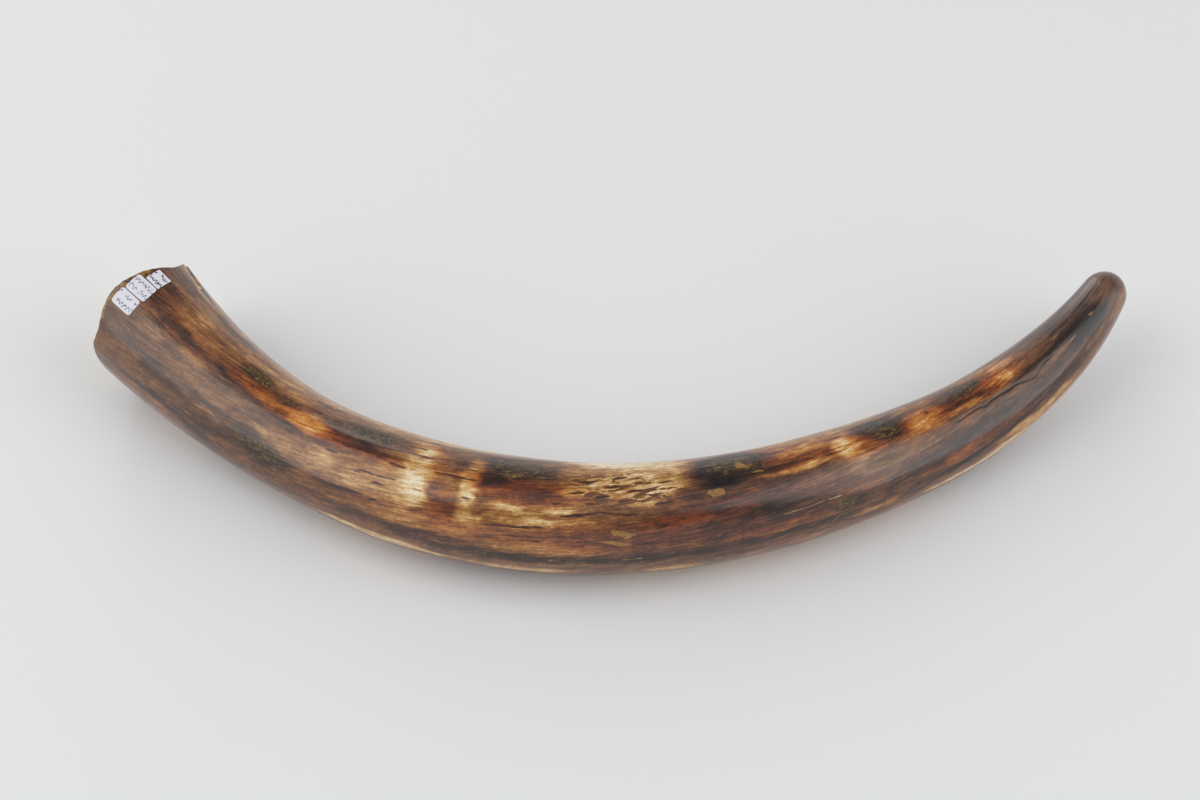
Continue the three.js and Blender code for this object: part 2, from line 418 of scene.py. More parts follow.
# Each patch is (along, around, half length, half width, strength) and some have a slant.
# Pale and dark lift and lower the tone of the bark, from near black to cream ivory. A few pale and
# tan marks by the tip and low on the outer curve are painted sheen, the room's reflection.
PATCHES = {
    "pale": [
        # By the broken end: the chip, its tail, and flecks in the streaked field
        (12, -54, 12, 3.2, 0.62, 0.6), (28, -45, 8, 2.2, 0.25), (45, -20, 6, 7, 0.28),
        (31, 24, 8, 3, 0.22), (57, 20, 9, 4, 0.24), (45, -6, 26, 9, 0.2), (70, 34, 26, 9, 0.2),
        (55, -30, 40, 12, 0.17), (110, -22, 26, 16, 0.24), (98, 4, 12, 8, 0.1),
        (40, 66, 30, 8, 0.12), (60, 102, 60, 8, 0.05),
        # The bright glow, and the soft tan stretch beside it
        (124, 8, 22, 8, 0.24), (134, 4, 12, 8, 0.32), (141, 1, 6, 5, 0.36), (138, -7, 8, 5, 0.3),
        (133, 12, 12, 5, 0.16), (150, 42, 26, 8, 0.2), (92, 22, 7, 7, 0.16),
        (78, 53, 8, 3.5, 0.2), (128, 36, 26, 11, 0.26), (113, 36, 5, 5, 0.25),
        (147, 32, 7, 6, 0.3), (141, 58, 4, 2.5, 0.35), (170, 33, 20, 13, 0.42),
        (184, 50, 18, 9, 0.3),
        # The two pale bars across the middle
        (191, 20, 12, 28, 0.36), (199.5, 16, 7, 36, 0.7), (202, 34, 5.5, 13, 0.7),
        (198, -16, 9, 9, 0.2), (190, -28, 14, 6, 0.24), (227, 20, 4.6, 32, 0.7),
        (228, -12, 6, 8, 0.55), (231, 48, 6, 6, 0.5), (214, 4, 8, 22, 0.22),
        (208, 62, 26, 9, 0.4), (260, 70, 34, 6, 0.34), (209, 41, 7, 6, 0.2),
        # Blotches, then the plain field and the dashed field
        (247, 31, 8, 5, 0.5), (248, 44, 16, 6, 0.22), (262, 37, 9, 4, 0.6),
        (271, 29, 7, 4.5, 0.5), (258, 36, 26, 12, 0.3), (268, 60, 34, 6, 0.08),
        (294, 38, 24, 7, 0.15), (311, -38, 35, 18, 0.84), (310, -2, 22, 19, 0.62),
        (284, 8, 15, 15, 0.42), (283, -14, 14, 9, 0.55), (322, 8, 8, 8, 0.6),
        (314, 18, 7, 5, 0.6), (334, -14, 8, 20, 0.3),
        # Past the black patch
        (331, 42, 12, 7, 0.14), (360, 45, 4, 3, 0.25), (372, 64, 26, 3, 0.08),
        (466, 14, 20, 5, 0.14), (492, 11, 26, 4, 0.16), (326, 24, 12, 4, 0.3),
        (399, -18, 20, 18, 0.22), (402, -16, 10, 9, 0.24), (394, 9, 18, 5, 0.4),
        (388, -42, 20, 12, 0.24), (424, -42, 36, 12, 0.4), (424, -2, 7, 20, 0.5),
        (422, -4, 5, 12, 0.6), (428, 20, 7, 6, 0.4), (440, 32, 20, 7, 0.26),
        (424, 30, 8, 4, 0.28), (470, -6, 15, 11, 0.34), (466, 6, 9, 5, 0.42),
        (470, -28, 18, 10, 0.3), (529, -4, 5, 9, 0.66), (531, -24, 7, 6, 0.62),
        (523, -10, 16, 16, 0.2), (514, -36, 22, 8, 0.28), (548, -4, 10, 4, 0.1),
        # The pale marks at 599 mm and beyond, on the tip, are painted sheen that lightens it
        (564, 23, 12, 2.4, 0.18), (522, 25.5, 34, 2.4, 0.1), (608, 66, 10, 22, 0.25),
        (600, -32, 18, 14, 0.2), (599, -3, 4, 6, 0.14), (528, 2, 14, 14, 0.12),
        (609, -2, 12, 26, 0.16),
        # Low on the outer curve: pale ivory, and partly painted reflection of the bright table at
        # the underside edge, most of all from 480 mm on toward the tip
        (187, 103, 34, 6, 0.7), (254, 103, 26, 5, 0.62), (326, 105, 14, 5, 0.5),
        (380, 99, 30, 7, 0.26), (425, 87, 9, 6, 0.42), (440, 86, 5, 5, 0.3),
        (480, 99, 20, 5, 0.45), (532, 82, 24, 8, 0.5), (556, 76, 12, 6, 0.3),
        (518, 101, 50, 9, 0.7), (582, 56, 10, 5, 0.25),
        # Along the inner curve, down its side and under the belly
        (150, -48, 60, 14, 0.36), (215, -48, 40, 12, 0.42), (60, -56, 50, 10, 0.2),
        (300, -76, 60, 20, 0.66), (220, -78, 30, 10, 0.4), (408, -72, 30, 12, 0.45),
        (120, -105, 40, 9, 0.4), (505, -84, 26, 12, 0.45), (350, 150, 70, 14, 0.5),
        (160, 150, 50, 12, 0.45), (470, -150, 46, 14, 0.5), (250, -140, 56, 12, 0.5),
        (85, -150, 40, 12, 0.42), (60, 150, 30, 12, 0.35), (440, 150, 40, 12, 0.42),
        (300, -112, 80, 12, 0.4), (570, -120, 26, 20, 0.3), (30, -100, 22, 16, 0.3),
        (420, -118, 40, 10, 0.42),
    ],
    "dark": [
        # By the broken end
        (27, -52, 10, 2.5, 0.4, 0.35), (18, -36, 13, 6, 0.34), (60, -42, 12, 6, 0.45),
        (23, 0, 11, 5, 0.5), (40, 6, 16, 4, 0.35), (75, 10, 14, 3.5, 0.42),
        (92, -12, 15, 11, 0.2), (98, 15, 10, 5, 0.3), (112, -8, 10, 9, 0.12),
        (36, 46, 16, 5, 0.2), (50, 54, 22, 5, 0.28), (84, 47, 18, 3.5, 0.35),
        (44, 80, 34, 3.5, 0.42), (84, 69, 18, 5, 0.3), (117, 56, 20, 13, 0.5),
        (118, 62, 12, 6, 0.4), (92, 60, 18, 8, 0.2), (23, -10, 12, 8, 0.2),
        # The mottled patches along the top
        (166, -9, 18, 13, 0.36), (150, -6, 10, 8, 0.25), (174, 6, 16, 4, 0.5),
        (178, -18, 14, 8, 0.2), (128, 74, 26, 7, 0.22), (70, -37, 26, 6, 0.2),
        (211.5, 16, 3, 36, 0.13), (220, -18, 8, 10, 0.25), (250, -15, 22, 12, 0.62),
        (236, 2, 10, 8, 0.62), (254, 4, 16, 6, 0.25), (230.5, 26, 1.6, 3.5, 0.8),
        (258, 10, 24, 4, 0.14), (357, -10, 19, 21, 0.8), (356, 6, 12, 7, 0.85),
        (358, -37, 20, 11, 0.42), (345, -26, 10, 8, 0.5), (373, -16, 12, 14, 0.6),
        (384, 4, 18, 3, 0.5), (446, -14, 14, 15, 0.6), (447, 1, 9, 5, 0.5),
        (446, -33, 14, 9, 0.3), (432, -14, 8, 7, 0.5), (404, -4, 14, 3, 0.3),
        (504, -16, 12, 13, 0.45), (448, 72, 20, 5, 0.25), (493, 2, 16, 4, 0.55),
        (510, 6, 14, 4, 0.5), (488, -8, 6, 6, 0.4),
        # The brown front past the middle
        (364, 26, 28, 9, 0.35), (386, 16, 20, 4, 0.35), (292, 62, 24, 9, 0.22),
        (300, 84, 40, 6, 0.2), (428, 38, 16, 8, 0.16), (372, 92, 40, 6, 0.28),
        (366, 66, 26, 5, 0.14), (380, 55, 40, 8, 0.14), (326, 64, 30, 12, 0.14),
        (345, 42, 40, 12, 0.34), (372, 54, 44, 12, 0.25), (392, 46, 26, 12, 0.3),
        # The long dark bands low on the outer curve
        (182, 76, 34, 5, 0.34), (222, 66, 22, 9, 0.4), (262, 84, 56, 5.5, 0.66),
        (366, 80, 64, 4.5, 0.62), (340, 62, 32, 6, 0.3), (416, 67, 9, 7, 0.55),
        (412, 83, 12, 4, 0.5), (445, 60, 26, 5, 0.4), (478, 78, 24, 3, 0.5),
        (470, 50, 24, 8, 0.35), (500, 44, 26, 10, 0.4), (520, 38, 24, 10, 0.16),
        (540, 66, 36, 12, 0.34), (110, 94, 36, 15, 0.2), (208, 58, 9, 7, 0.18),
        (368, 102, 40, 9, 0.16),
        # The dark tip
        (560, 50, 34, 12, 0.4), (560, 13, 28, 7, 0.58), (582, 12, 20, 10, 0.75),
        (586, 34, 17, 15, 0.9), (574, -2, 18, 9, 0.25), (590, -22, 24, 20, 0.4),
        (587, 32, 13, 12, 0.6), (606, 20, 16, 60, 0.25), (598, -60, 24, 30, 0.35),
        (570, -34, 24, 12, 0.3),
        # The inner curve and the belly
        (190, -92, 60, 8, 0.45), (370, -60, 20, 9, 0.45), (450, -58, 22, 9, 0.45),
        (80, -78, 44, 12, 0.35), (560, -84, 34, 14, 0.45), (250, 172, 90, 12, 0.4),
        (420, 168, 70, 12, 0.4), (100, 128, 70, 9, 0.38), (330, -128, 70, 8, 0.42),
        (300, 124, 70, 7, 0.35), (60, -126, 50, 8, 0.35), (500, 118, 40, 9, 0.35),
        (170, -126, 40, 6, 0.38),
    ],
    "red": [
        (42, 2, 32, 16, 0.34), (112, 4, 34, 12, 0.62), (140, 8, 18, 12, 0.72),
        (255, 12, 26, 14, 0.6), (370, 46, 50, 26, 0.45), (216, 40, 6, 20, 0.6),
        (170, 10, 22, 8, 0.7), (206, -4, 6, 30, 0.32), (400, -8, 26, 22, 0.5),
        (500, 62, 40, 8, 0.5), (508, 2, 40, 9, 0.62), (525, -14, 24, 16, 0.7),
        (322, 44, 10, 6, 0.9), (336, 39, 8, 8, 0.8), (470, -2, 22, 14, 0.7),
        (554, -2, 22, 7, 0.5), (430, 4, 12, 20, 0.6), (460, 16, 24, 6, 0.3),
        (300, 57, 110, 12, 0.35), (370, 29, 28, 9, 0.3), (235, 8, 14, 16, 0.5),
        (420, 122, 90, 14, 0.4), (180, 130, 80, 14, 0.4), (300, 60, 40, 10, 0.3),
    ],
    "tan": [
        # Greyer stretches of stain. The wide mark over the tip, the two beside it at 568 and 575,
        # and the long one low on the outer curve at 515 are painted grey sheen, the room's
        # reflection on the polish
        (130, 32, 32, 14, 0.36), (90, 26, 26, 12, 0.4), (440, 34, 24, 9, 0.6),
        (412, 27, 30, 13, 0.4), (508, 38, 34, 11, 0.55), (603, 0, 17, 120, 0.8),
        (515, 103, 50, 9, 0.8), (568, -22, 36, 26, 0.55), (575, 4, 36, 14, 0.5),
        (50, 48, 60, 32, 0.5), (40, -8, 36, 14, 0.28), (180, 42, 22, 13, 0.1),
        (30, -40, 30, 10, 0.45), (560, 60, 30, 10, 0.3),
    ],
    "dashed": [
        (300, 2, 34, 21, 1.0), (272, 12, 22, 14, 0.55), (318, 18, 22, 9, 0.8),
        (288, 34, 28, 10, 0.35), (185, 20, 24, 24, 0.22), (390, -8, 24, 22, 0.4),
        (336, 8, 8, 14, 0.6), (470, -10, 20, 16, 0.55), (424, -4, 14, 16, 0.5),
        (529, -10, 14, 14, 0.45), (255, 44, 26, 12, 0.35), (360, 50, 50, 24, 0.3),
        (300, -100, 70, 16, 0.4),
    ],
    "olive": [
        (18, -37, 9, 4, 0.5), (60, -42, 10, 4.5, 0.6), (92, -13, 13, 11, 0.75),
        (113, -6, 7, 9, 0.55), (167, -13, 16, 12, 0.8), (254, -14, 18, 12, 0.85),
        (238, -24, 12, 8, 0.6), (362, -16, 16, 14, 0.75), (372, -4, 7, 6, 0.7),
        (447, -11, 12, 12, 0.9), (503, -18, 12, 14, 0.9), (117, 57, 20, 12, 0.7),
        (415, 66, 10, 7, 0.7), (412, 83, 12, 5, 0.6), (584, 52, 9, 6, 0.6),
        (235.5, 25, 3, 3, 0.5), (310, 54, 4, 2, 0.6), (439, 31, 16, 5.5, 0.62),
        (70, 60, 22, 8, 0.4), (262, 86, 40, 5, 0.4), (562, -2, 6, 4, 0.4), (555, 24, 24, 3, 0.4),
        (190, -92, 30, 7, 0.6), (370, -62, 18, 9, 0.6), (100, 128, 40, 8, 0.5),
    ],
    "ochre": [
        (300.5, 50.5, 3.8, 2.1, 1.0), (305, 52.5, 3.4, 2.0, 0.9), (298, 60.5, 6.5, 2.7, 1.0),
        (303, 62, 5.0, 2.4, 1.0), (291.5, 60.5, 3.6, 1.3, 0.8), (365.5, -13, 2.0, 3.6, 0.9),
        (368, -10, 1.7, 2.6, 0.8), (347.5, 17, 3.6, 4.2, 0.66), (351.5, 18, 3.2, 3.6, 0.62),
        (507, -39, 5, 5, 0.8), (592, 15, 2, 3.5, 0.8), (1.5, 14, 2.4, 44, 0.9),
        (372, 3, 3, 3, 0.6), (306, 82, 6, 2, 0.6),
    ],
}

# Each line is its half width in mm and its points of (along, around).
LINES = {
    "strokes": [
        # By the broken end
        (0.2, [(18, 35), (24, 40), (33, 46), (46, 46)]),
        (0.3, [(52, 47), (64, 45), (75, 46), (88, 52), (98, 57)]),
        (0.5, [(5, 84), (20, 83), (35, 81), (50, 77), (60, 73), (80, 70), (98, 66)]),
        (0.3, [(40, 8), (56, 9), (70, 9), (86, 12), (100, 12)]),
        (0.5, [(118, 17), (128, 17)]), (0.5, [(123, 23), (130, 23)]), (0.5, [(150, 23), (158, 22)]),
        (0.4, [(150, 9), (160, 9.5), (170, 9), (185, 7)]), (0.4, [(20, 14), (36, 16), (50, 15)]),
        # Short strokes round the pale bars
        (0.55, [(189, -16), (194, -16.5), (200, -17)]), (0.55, [(190, -6), (198, -6), (207, -7)]),
        (0.6, [(184, 12), (190, 12.5), (195, 12)]), (0.6, [(172, 29), (182, 28.5), (191, 27)]),
        (0.55, [(179, 37), (183, 36), (188, 36)]), (0.4, [(169, 32), (173, 31)]),
        (0.45, [(168, 41), (172, 41)]), (0.4, [(156, 38), (163, 38)]),
        (0.8, [(150, 57), (158, 56.5), (166, 54.5), (178, 52)]), (0.6, [(180, 54.5), (185, 54)]),
        (0.4, [(187, 61), (191, 61)]), (0.4, [(223, -3), (229, -3)]),
        (0.55, [(208, 9), (215, 8), (222, 8.5), (233, 8)]), (0.5, [(200, 31), (206, 30.5)]),
        (0.5, [(224, 28), (230, 28)]), (0.55, [(262, 16), (268, 14), (274, 13)]),
        (0.4, [(258, 9), (265, 8)]), (0.4, [(256, 24), (260, 24)]), (0.45, [(267, 22), (272, 21)]),
        (0.7, [(272, 34), (280, 32.5), (290, 30)]),
        (0.55, [(235, 50), (242, 49), (250, 48), (258, 47), (268, 45)]),
        (0.5, [(245, 58), (255, 57), (265, 57)]), (0.4, [(253, 62), (265, 61)]),
        (0.5, [(263, 56), (273, 55), (283, 55)]), (0.4, [(278, 64), (284, 64)]),
        (0.45, [(288, 28), (299, 31), (310, 33)]),
        # Slanting dashes in the pale fields
        (0.6, [(276, 10), (284, 8)]), (0.6, [(281, -3), (290, -5)]), (0.6, [(288, 14), (297, 12)]),
        (0.6, [(292, 3), (301, 1)]), (0.5, [(284, 21), (292, 20)]), (0.6, [(300, 18), (308, 16)]),
        (0.6, [(304, 8), (313, 6)]), (0.6, [(298, -9), (306, -11)]), (0.5, [(308, -3), (316, -5)]),
        (0.6, [(316, 13), (324, 11)]), (0.5, [(318, 23), (328, 21)]), (0.5, [(320, -1), (329, -3)]),
        (0.4, [(280, -14), (287, -15)]), (0.35, [(281, -23), (284, -23)]),
        (0.35, [(292, -22), (295, -22)]), (0.35, [(300, -24), (303, -24)]),
        (0.4, [(379, 0), (388, 1), (398, 0)]), (0.5, [(414, -18), (425, -19)]),
        (0.4, [(396, -26), (408, -28)]), (0.4, [(410, 4), (420, 3)]),
        # Round the ochre spot, and the lower dark line near the tip
        (0.35, [(296, 53), (300, 49), (307, 50), (309, 55), (307, 62), (298, 65), (290, 62)]),
        (0.4, [(294, 57), (300, 56), (309, 55), (322, 52)]),
        (0.9, [(440, 86), (460, 83), (475, 77), (490, 75), (505, 72), (530, 67), (545, 62)]),
        (0.35, [(471, -9), (474, -11), (476, -8), (473, -7)]),
    ],
    "cracks": [
        (0.6, [(20, -55), (25, -53), (29, -50.5), (36, -49)]),
        # The long crack towards the tip
        (0.58, [
            (482, 22), (489, 22), (495, 20.5), (500, 18.5), (504, 20), (507, 22.5), (512, 19),
            (519, 19), (524, 20.5), (530, 20), (534, 23), (537, 26), (543, 27), (546, 23),
            (549, 19.5), (556, 19), (560, 21),
        ]),
        (0.8, [(518.5, 19), (519.5, 20)]), (0.5, [(230.5, 23), (231, 29)]),
        (0.3, [(470, 83), (478, 77), (486, 75.5)]),
    ],
    "pale_lines": [
        (0.4, [(381, 55), (391, 54), (402, 53)]), (0.4, [(404, 53), (412, 53)]),
        (0.15, [(560, 23), (566, 23.5), (576, 22)]), (0.3, [(564, -2), (570, -2)]),
        (0.18, [(346, 64), (356, 64)]), (0.2, [(430, 24), (440, 25)]),
        (0.25, [(2, -60), (8, -55), (16, -49.5), (28, -46)]), (0.18, [(24, 20), (34, 20)]),
        (0.18, [(26, 28), (38, 28)]), (0.2, [(136, 58), (143, 58)]),
    ],
}

marks = {name: np.zeros(len(along)) for name in (*PATCHES, *LINES)}
marks["end_face"] = end_face
for mark_name, places in PATCHES.items():
    for place in places:
        patch(mark_name, *place)
for mark_name, paths in LINES.items():
    for half_width, points in paths:
        line(mark_name, points, half_width)


# ---- Relief, and the bend ---------------------------------------------------------------

CHIP = {"place": 0, "beside": -64, "length": 27, "width": 2.5, "depth": 1.5, "turn": 20}


def relief(grain_at):
    """Low lumps and long shallow flutes left under the polish, in mm."""
    lumps = waves(grain_at, height=0.30, length=46, width=17, seed=1)
    flutes = waves(grain_at, height=0.14, length=70, width=4.5, seed=2)
    ripples = waves(grain_at, height=0.04, length=16, width=2.2, seed=3)
    return lumps + flutes + ripples


def lens_cut(cut):
    """The depth of a slim cut that tapers to both ends, in mm."""
    ahead = along - cut["place"]
    sideways = np.radians(around - cut["beside"]) * full_radius
    turn = math.radians(cut["turn"])
    run = ahead * math.cos(turn) + sideways * math.sin(turn)
    beside = sideways * math.cos(turn) - ahead * math.sin(turn)
    inside = 1 - (run / cut["length"]) ** 2 - (beside / cut["width"]) ** 2
    return cut["depth"] * np.sqrt(np.maximum(0, inside))


TIP_FADE = 12  # mm over which the relief dies out to the tip
CRACK_DEPTH = 0.4
STROKE_DEPTH = 0.06
PIT_DEPTH = 0.16


def cut_in(mark, level):
    """How far lines have cut in, from 0 to 1, where their mark passes a level."""
    return np.clip((marks[mark] - level) * 8, 0, 1)


tip_fade = np.clip((LENGTH + TIP_REACH - along) / TIP_FADE, 0, 1)
skin = (1 - end_face) * tip_fade

raised = relief(grain) * skin
raised -= lens_cut(CHIP) * (1 - end_face)
raised -= CRACK_DEPTH * cut_in("cracks", 0.47) * skin
raised -= STROKE_DEPTH * cut_in("strokes", 0.45) * skin
pitted = np.clip(marks["olive"] * 1.4, 0, 1)
pits = np.clip(waves(grain, height=1, length=3.4, width=2.0, seed=4) + 0.1, 0, 1)
raised -= PIT_DEPTH * pits * pitted * skin

# The broken face is rough: steps between the growth layers, and splintered lumps.
LAYER_WIDTH = 5.2
LAYER_STEP = 1.1
RIM_NICK_REACH = 2.5

rough = waves(straight, height=1.5, length=9, width=9, seed=5)
rough += waves(straight, height=0.5, length=3, width=3, seed=6)
layer_place = across + waves(straight, height=2.0, length=14, width=14, seed=7)
layer_step = LAYER_STEP * np.mod(layer_place, LAYER_WIDTH) / LAYER_WIDTH
rim_fade = np.clip((RADII[0] - across) / 4, 0, 1)
along_bent = along + end_face * rim_fade * (rough + layer_step)
near_rim = np.clip((across / RADII[0] - 0.9) * 10, 0, 1)
rim_nicks = near_rim * np.clip(1 - straight[:, 0] / RIM_NICK_REACH, 0, 1)
along_bent += rim_nicks * waves(straight, height=0.6, length=4, width=3.2, seed=8)

reach = (across + raised) * radius_at(along) / full_radius
placed = bent(along_bent, angle, reach)
placed[:, 2] = np.maximum(placed[:, 2], 0)
write_places(tusk, placed)

write_attribute(tusk, "grain", grain * MM)
for mark_name, values in marks.items():
    write_attribute(tusk, mark_name, values)


# ---- The ivory ---------------------------------------------------------------------------

# Fossil ivory under its own brown bark, ground smooth and polished. The eye gets long stained
# streaks that follow the tusk, cream ivory where the bark is polished through, mottled dark
# and olive mineral stains, and a soft clear gloss.
ivory, ivory_tree, ivory_shader = new_material("polished mammoth ivory")
grain_node = add_node(ivory_tree, "ShaderNodeAttribute", {"attribute_name": "grain"})
painted = {
    name: add_node(ivory_tree, "ShaderNodeAttribute", {"attribute_name": name}).outputs["Fac"]
    for name in marks
}

# The Mix node's sockets when it mixes colours.
MIX_FACTOR = 0
MIX_UNDER = 6
MIX_OVER = 7
MIX_RESULT = 2


def streaks(width, length, detail=3, roughness=0.55, shift=0.0, distortion=0.0):
    """A pattern drawn out along the grain, from about -1 to 1, by its size in mm."""
    squeezed = add_node(
        ivory_tree, "ShaderNodeVectorMath", {"operation": "MULTIPLY_ADD"},
        {0: grain_node.outputs["Vector"], 1: (width / length, 1, 1), 2: (shift, shift, shift)},
    )
    pattern = add_node(
        ivory_tree, "ShaderNodeTexNoise", None,
        {"Vector": squeezed.outputs["Vector"], "Scale": 1 / (width * MM), "Detail": detail,
         "Roughness": roughness, "Distortion": distortion},
    )
    centred = add_node(
        ivory_tree, "ShaderNodeMapRange", {"clamp": False},
        {"Value": pattern.outputs["Fac"], "From Min": 0.3, "From Max": 0.7, "To Min": -1,
         "To Max": 1},
    )
    return centred.outputs["Result"]


def blend(start, parts):
    """A start value with a share of each part added, where a share may be a pattern too."""
    total = start
    for part, share in parts:
        added = add_node(
            ivory_tree, "ShaderNodeMath", {"operation": "MULTIPLY_ADD"},
            {0: part, 1: share, 2: total},
        )
        total = added.outputs["Value"]
    return total


def drawn_towards(goal, value, share):
    """A value drawn a share of the way to a goal."""
    return blend(value, [(share, blend(goal, [(value, -1.0)]))])


def layered(colour, layers):
    """A colour with others laid over it in turn, each by the share that it covers."""
    for over, cover in layers:
        mixed = add_node(
            ivory_tree, "ShaderNodeMix", {"data_type": "RGBA"},
            {MIX_FACTOR: cover, MIX_UNDER: colour, MIX_OVER: over},
        )
        colour = mixed.outputs[MIX_RESULT]
    return colour


def cover_of(mark, breakup, amount, edge=0.08, level=0.5, most=1.0):
    """The share that a painted mark covers, its edge broken up by a pattern."""
    cover = add_node(
        ivory_tree, "ShaderNodeMapRange", {"interpolation_type": "SMOOTHSTEP"},
        {"Value": blend(painted[mark], [(breakup, amount)]), "From Min": level - edge,
         "From Max": level + edge, "To Max": most},
    )
    return cover.outputs["Result"]


def between(colours, by, low=-1.0, high=1.0):
    """A blend through colours as a pattern rises from low to high."""
    share = add_node(
        ivory_tree, "ShaderNodeMapRange", None,
        {"Value": by, "From Min": low, "From Max": high},
    )
    ramp = add_node(ivory_tree, "ShaderNodeValToRGB", None, {"Fac": share.outputs["Result"]})
    stops = ramp.color_ramp.elements
    while len(stops) < len(colours):
        stops.new(0.5)
    for index, colour in enumerate(colours):
        stops[index].position = index / (len(colours) - 1)
        stops[index].color = linear(colour)
    return ramp.outputs["Color"]


broad = streaks(width=11, length=90)
cloud = streaks(width=9, length=16, detail=4, roughness=0.6, shift=0.87, distortion=0.4)
middling = streaks(width=3.0, length=40, detail=4, shift=0.31, distortion=0.3)
mottle = streaks(width=3.0, length=6, detail=6, roughness=0.65, shift=0.19, distortion=0.3)
dashes = streaks(width=2.1, length=10, roughness=0.6, shift=0.53, distortion=0.3)
specks = streaks(width=1.1, length=2.2, roughness=0.6, shift=0.43)
fine = streaks(width=1.0, length=16, detail=4, shift=0.77, distortion=0.2)
hair = streaks(width=0.5, length=7, roughness=0.6, shift=0.63)

# The tone runs from near-black bark at 0 to bare cream ivory at 1.
BARK_TONE = 0.415
DASH_TONE = 0.34
STROKE_TONE = 0.13
MOST_DRAWN = 0.85  # what dashes and strokes cover at their heart

pale = painted["pale"]
streaking = blend(0.0, [
    (broad, 0.05), (cloud, 0.08), (middling, 0.06), (fine, 0.10), (hair, 0.08), (mottle, 0.07),
    (specks, 0.06),
])
quieter = blend(0.0, [(streaking, -0.5)])
pale_grain = blend(0.0, [(middling, 0.07), (mottle, 0.06)])
tone = blend(BARK_TONE, [
    (pale, 0.57), (painted["dark"], -0.36), (streaking, 1.0), (painted["tan"], quieter),
    (pale, pale_grain),
])
dash_shape = add_node(
    ivory_tree, "ShaderNodeMapRange", {"interpolation_type": "SMOOTHSTEP"},
    {"Value": dashes, "From Min": 0.08, "From Max": 0.36, "To Max": MOST_DRAWN},
)
dash_cover = blend(0.0, [(dash_shape.outputs["Result"], painted["dashed"])])
tone = drawn_towards(DASH_TONE, tone, dash_cover)
stroke_cover = cover_of("strokes", fine, 0.05, edge=0.07, level=0.51, most=MOST_DRAWN)
tone = drawn_towards(STROKE_TONE, tone, stroke_cover)

# Each runs from near-black bark to bare ivory as the tone rises.
BARK = [
    "#120c0a", "#251610", "#40261a", "#5f3b25", "#825330", "#a5713c", "#c4985c", "#dec08e",
    "#ece0c4",
]
RUSTY = [
    "#130b08", "#2b140c", "#502412", "#793716", "#a2521d", "#bf7029", "#d39348", "#e2bd84",
    "#ecdcbb",
]
# Greyer bark, which also colours the painted sheen on the tip and the underside edge
GREYED = [
    "#161110", "#2a1f1a", "#443329", "#62493b", "#81634e", "#a08065", "#bb9d7c", "#d2ba98",
    "#e3d6c0",
]
OLIVE = ["#160e09", "#302011", "#50391d", "#765a2d", "#9d8046"]
olive_tone = blend(0.40, [(mottle, 0.22), (specks, 0.36), (fine, 0.2), (pale, 0.2)])
olive_edge = blend(mottle, [(specks, 0.7)])
olive_cover = cover_of("olive", olive_edge, 0.26, edge=0.28, level=0.55)
ochre = between(["#7a5527", "#926932", "#a57c43"], specks, -1.2, 1.2)
ochre_rim = between(["#2c1d12", "#412c1a"], specks)
black = between(["#0e0908", "#1c120d"], specks)
gold_line = between(["#8f6f3c", "#b8985a"], specks)

# The broken face: bare ivory in rings one inside another, brown towards the bark.
RING_WIDTH = 1.9 * MM
RING_WOBBLE = 0.6 * MM
RIND_FROM = 21 * MM
RIND_TO = 26 * MM

face_place = add_node(
    ivory_tree, "ShaderNodeSeparateXYZ", None, {0: grain_node.outputs["Vector"]}
)
face_flat = add_node(
    ivory_tree, "ShaderNodeCombineXYZ", None,
    {"Y": face_place.outputs["Y"], "Z": face_place.outputs["Z"]},
)
face_across = add_node(
    ivory_tree, "ShaderNodeVectorMath", {"operation": "LENGTH"},
    {0: face_flat.outputs["Vector"]},
)
ring_place = blend(face_across.outputs["Value"], [(mottle, RING_WOBBLE)])
ring_turn = blend(0.0, [(ring_place, 2 * math.pi / RING_WIDTH)])
rings = add_node(ivory_tree, "ShaderNodeMath", {"operation": "SINE"}, {0: ring_turn})
ring_colour = between(["#b48d58", "#cdb083", "#dccaa4"], rings.outputs["Value"], -1.4, 1.2)
rind = between(["#6a4421", "#9a6d34", "#b58a4a"], mottle, -1.3, 1.3)
rind_share = add_node(
    ivory_tree, "ShaderNodeMapRange", {"interpolation_type": "SMOOTHSTEP"},
    {"Value": ring_place, "From Min": RIND_FROM, "From Max": RIND_TO},
)
face_colour = layered(ring_colour, [(rind, rind_share.outputs["Result"])])

colour = layered(between(BARK, tone, 0.0, 1.0), [
    (between(RUSTY, tone, 0.0, 1.0), painted["red"]),
    # The greyed layer also lays the painted sheen on the tip and the underside edge
    (between(GREYED, tone, 0.0, 1.0), painted["tan"]),
    (between(OLIVE, olive_tone, 0.0, 1.0), olive_cover),
    (ochre_rim, cover_of("ochre", mottle, 0.17, edge=0.12, level=0.36)),
    (ochre, cover_of("ochre", mottle, 0.17)),
    (black, cover_of("cracks", specks, 0.02, edge=0.05)),
    (gold_line, cover_of("pale_lines", fine, 0.03, edge=0.05)),
    (face_colour, cover_of("end_face", mottle, 0.06, edge=0.25)),
])
ivory_tree.links.new(colour, ivory_shader.inputs["Base Color"])

# Polish varies a little from place to place, and the broken face was never polished.
FACE_DULLNESS = 0.45
GRAIN_RIDGE = 0.06 * MM

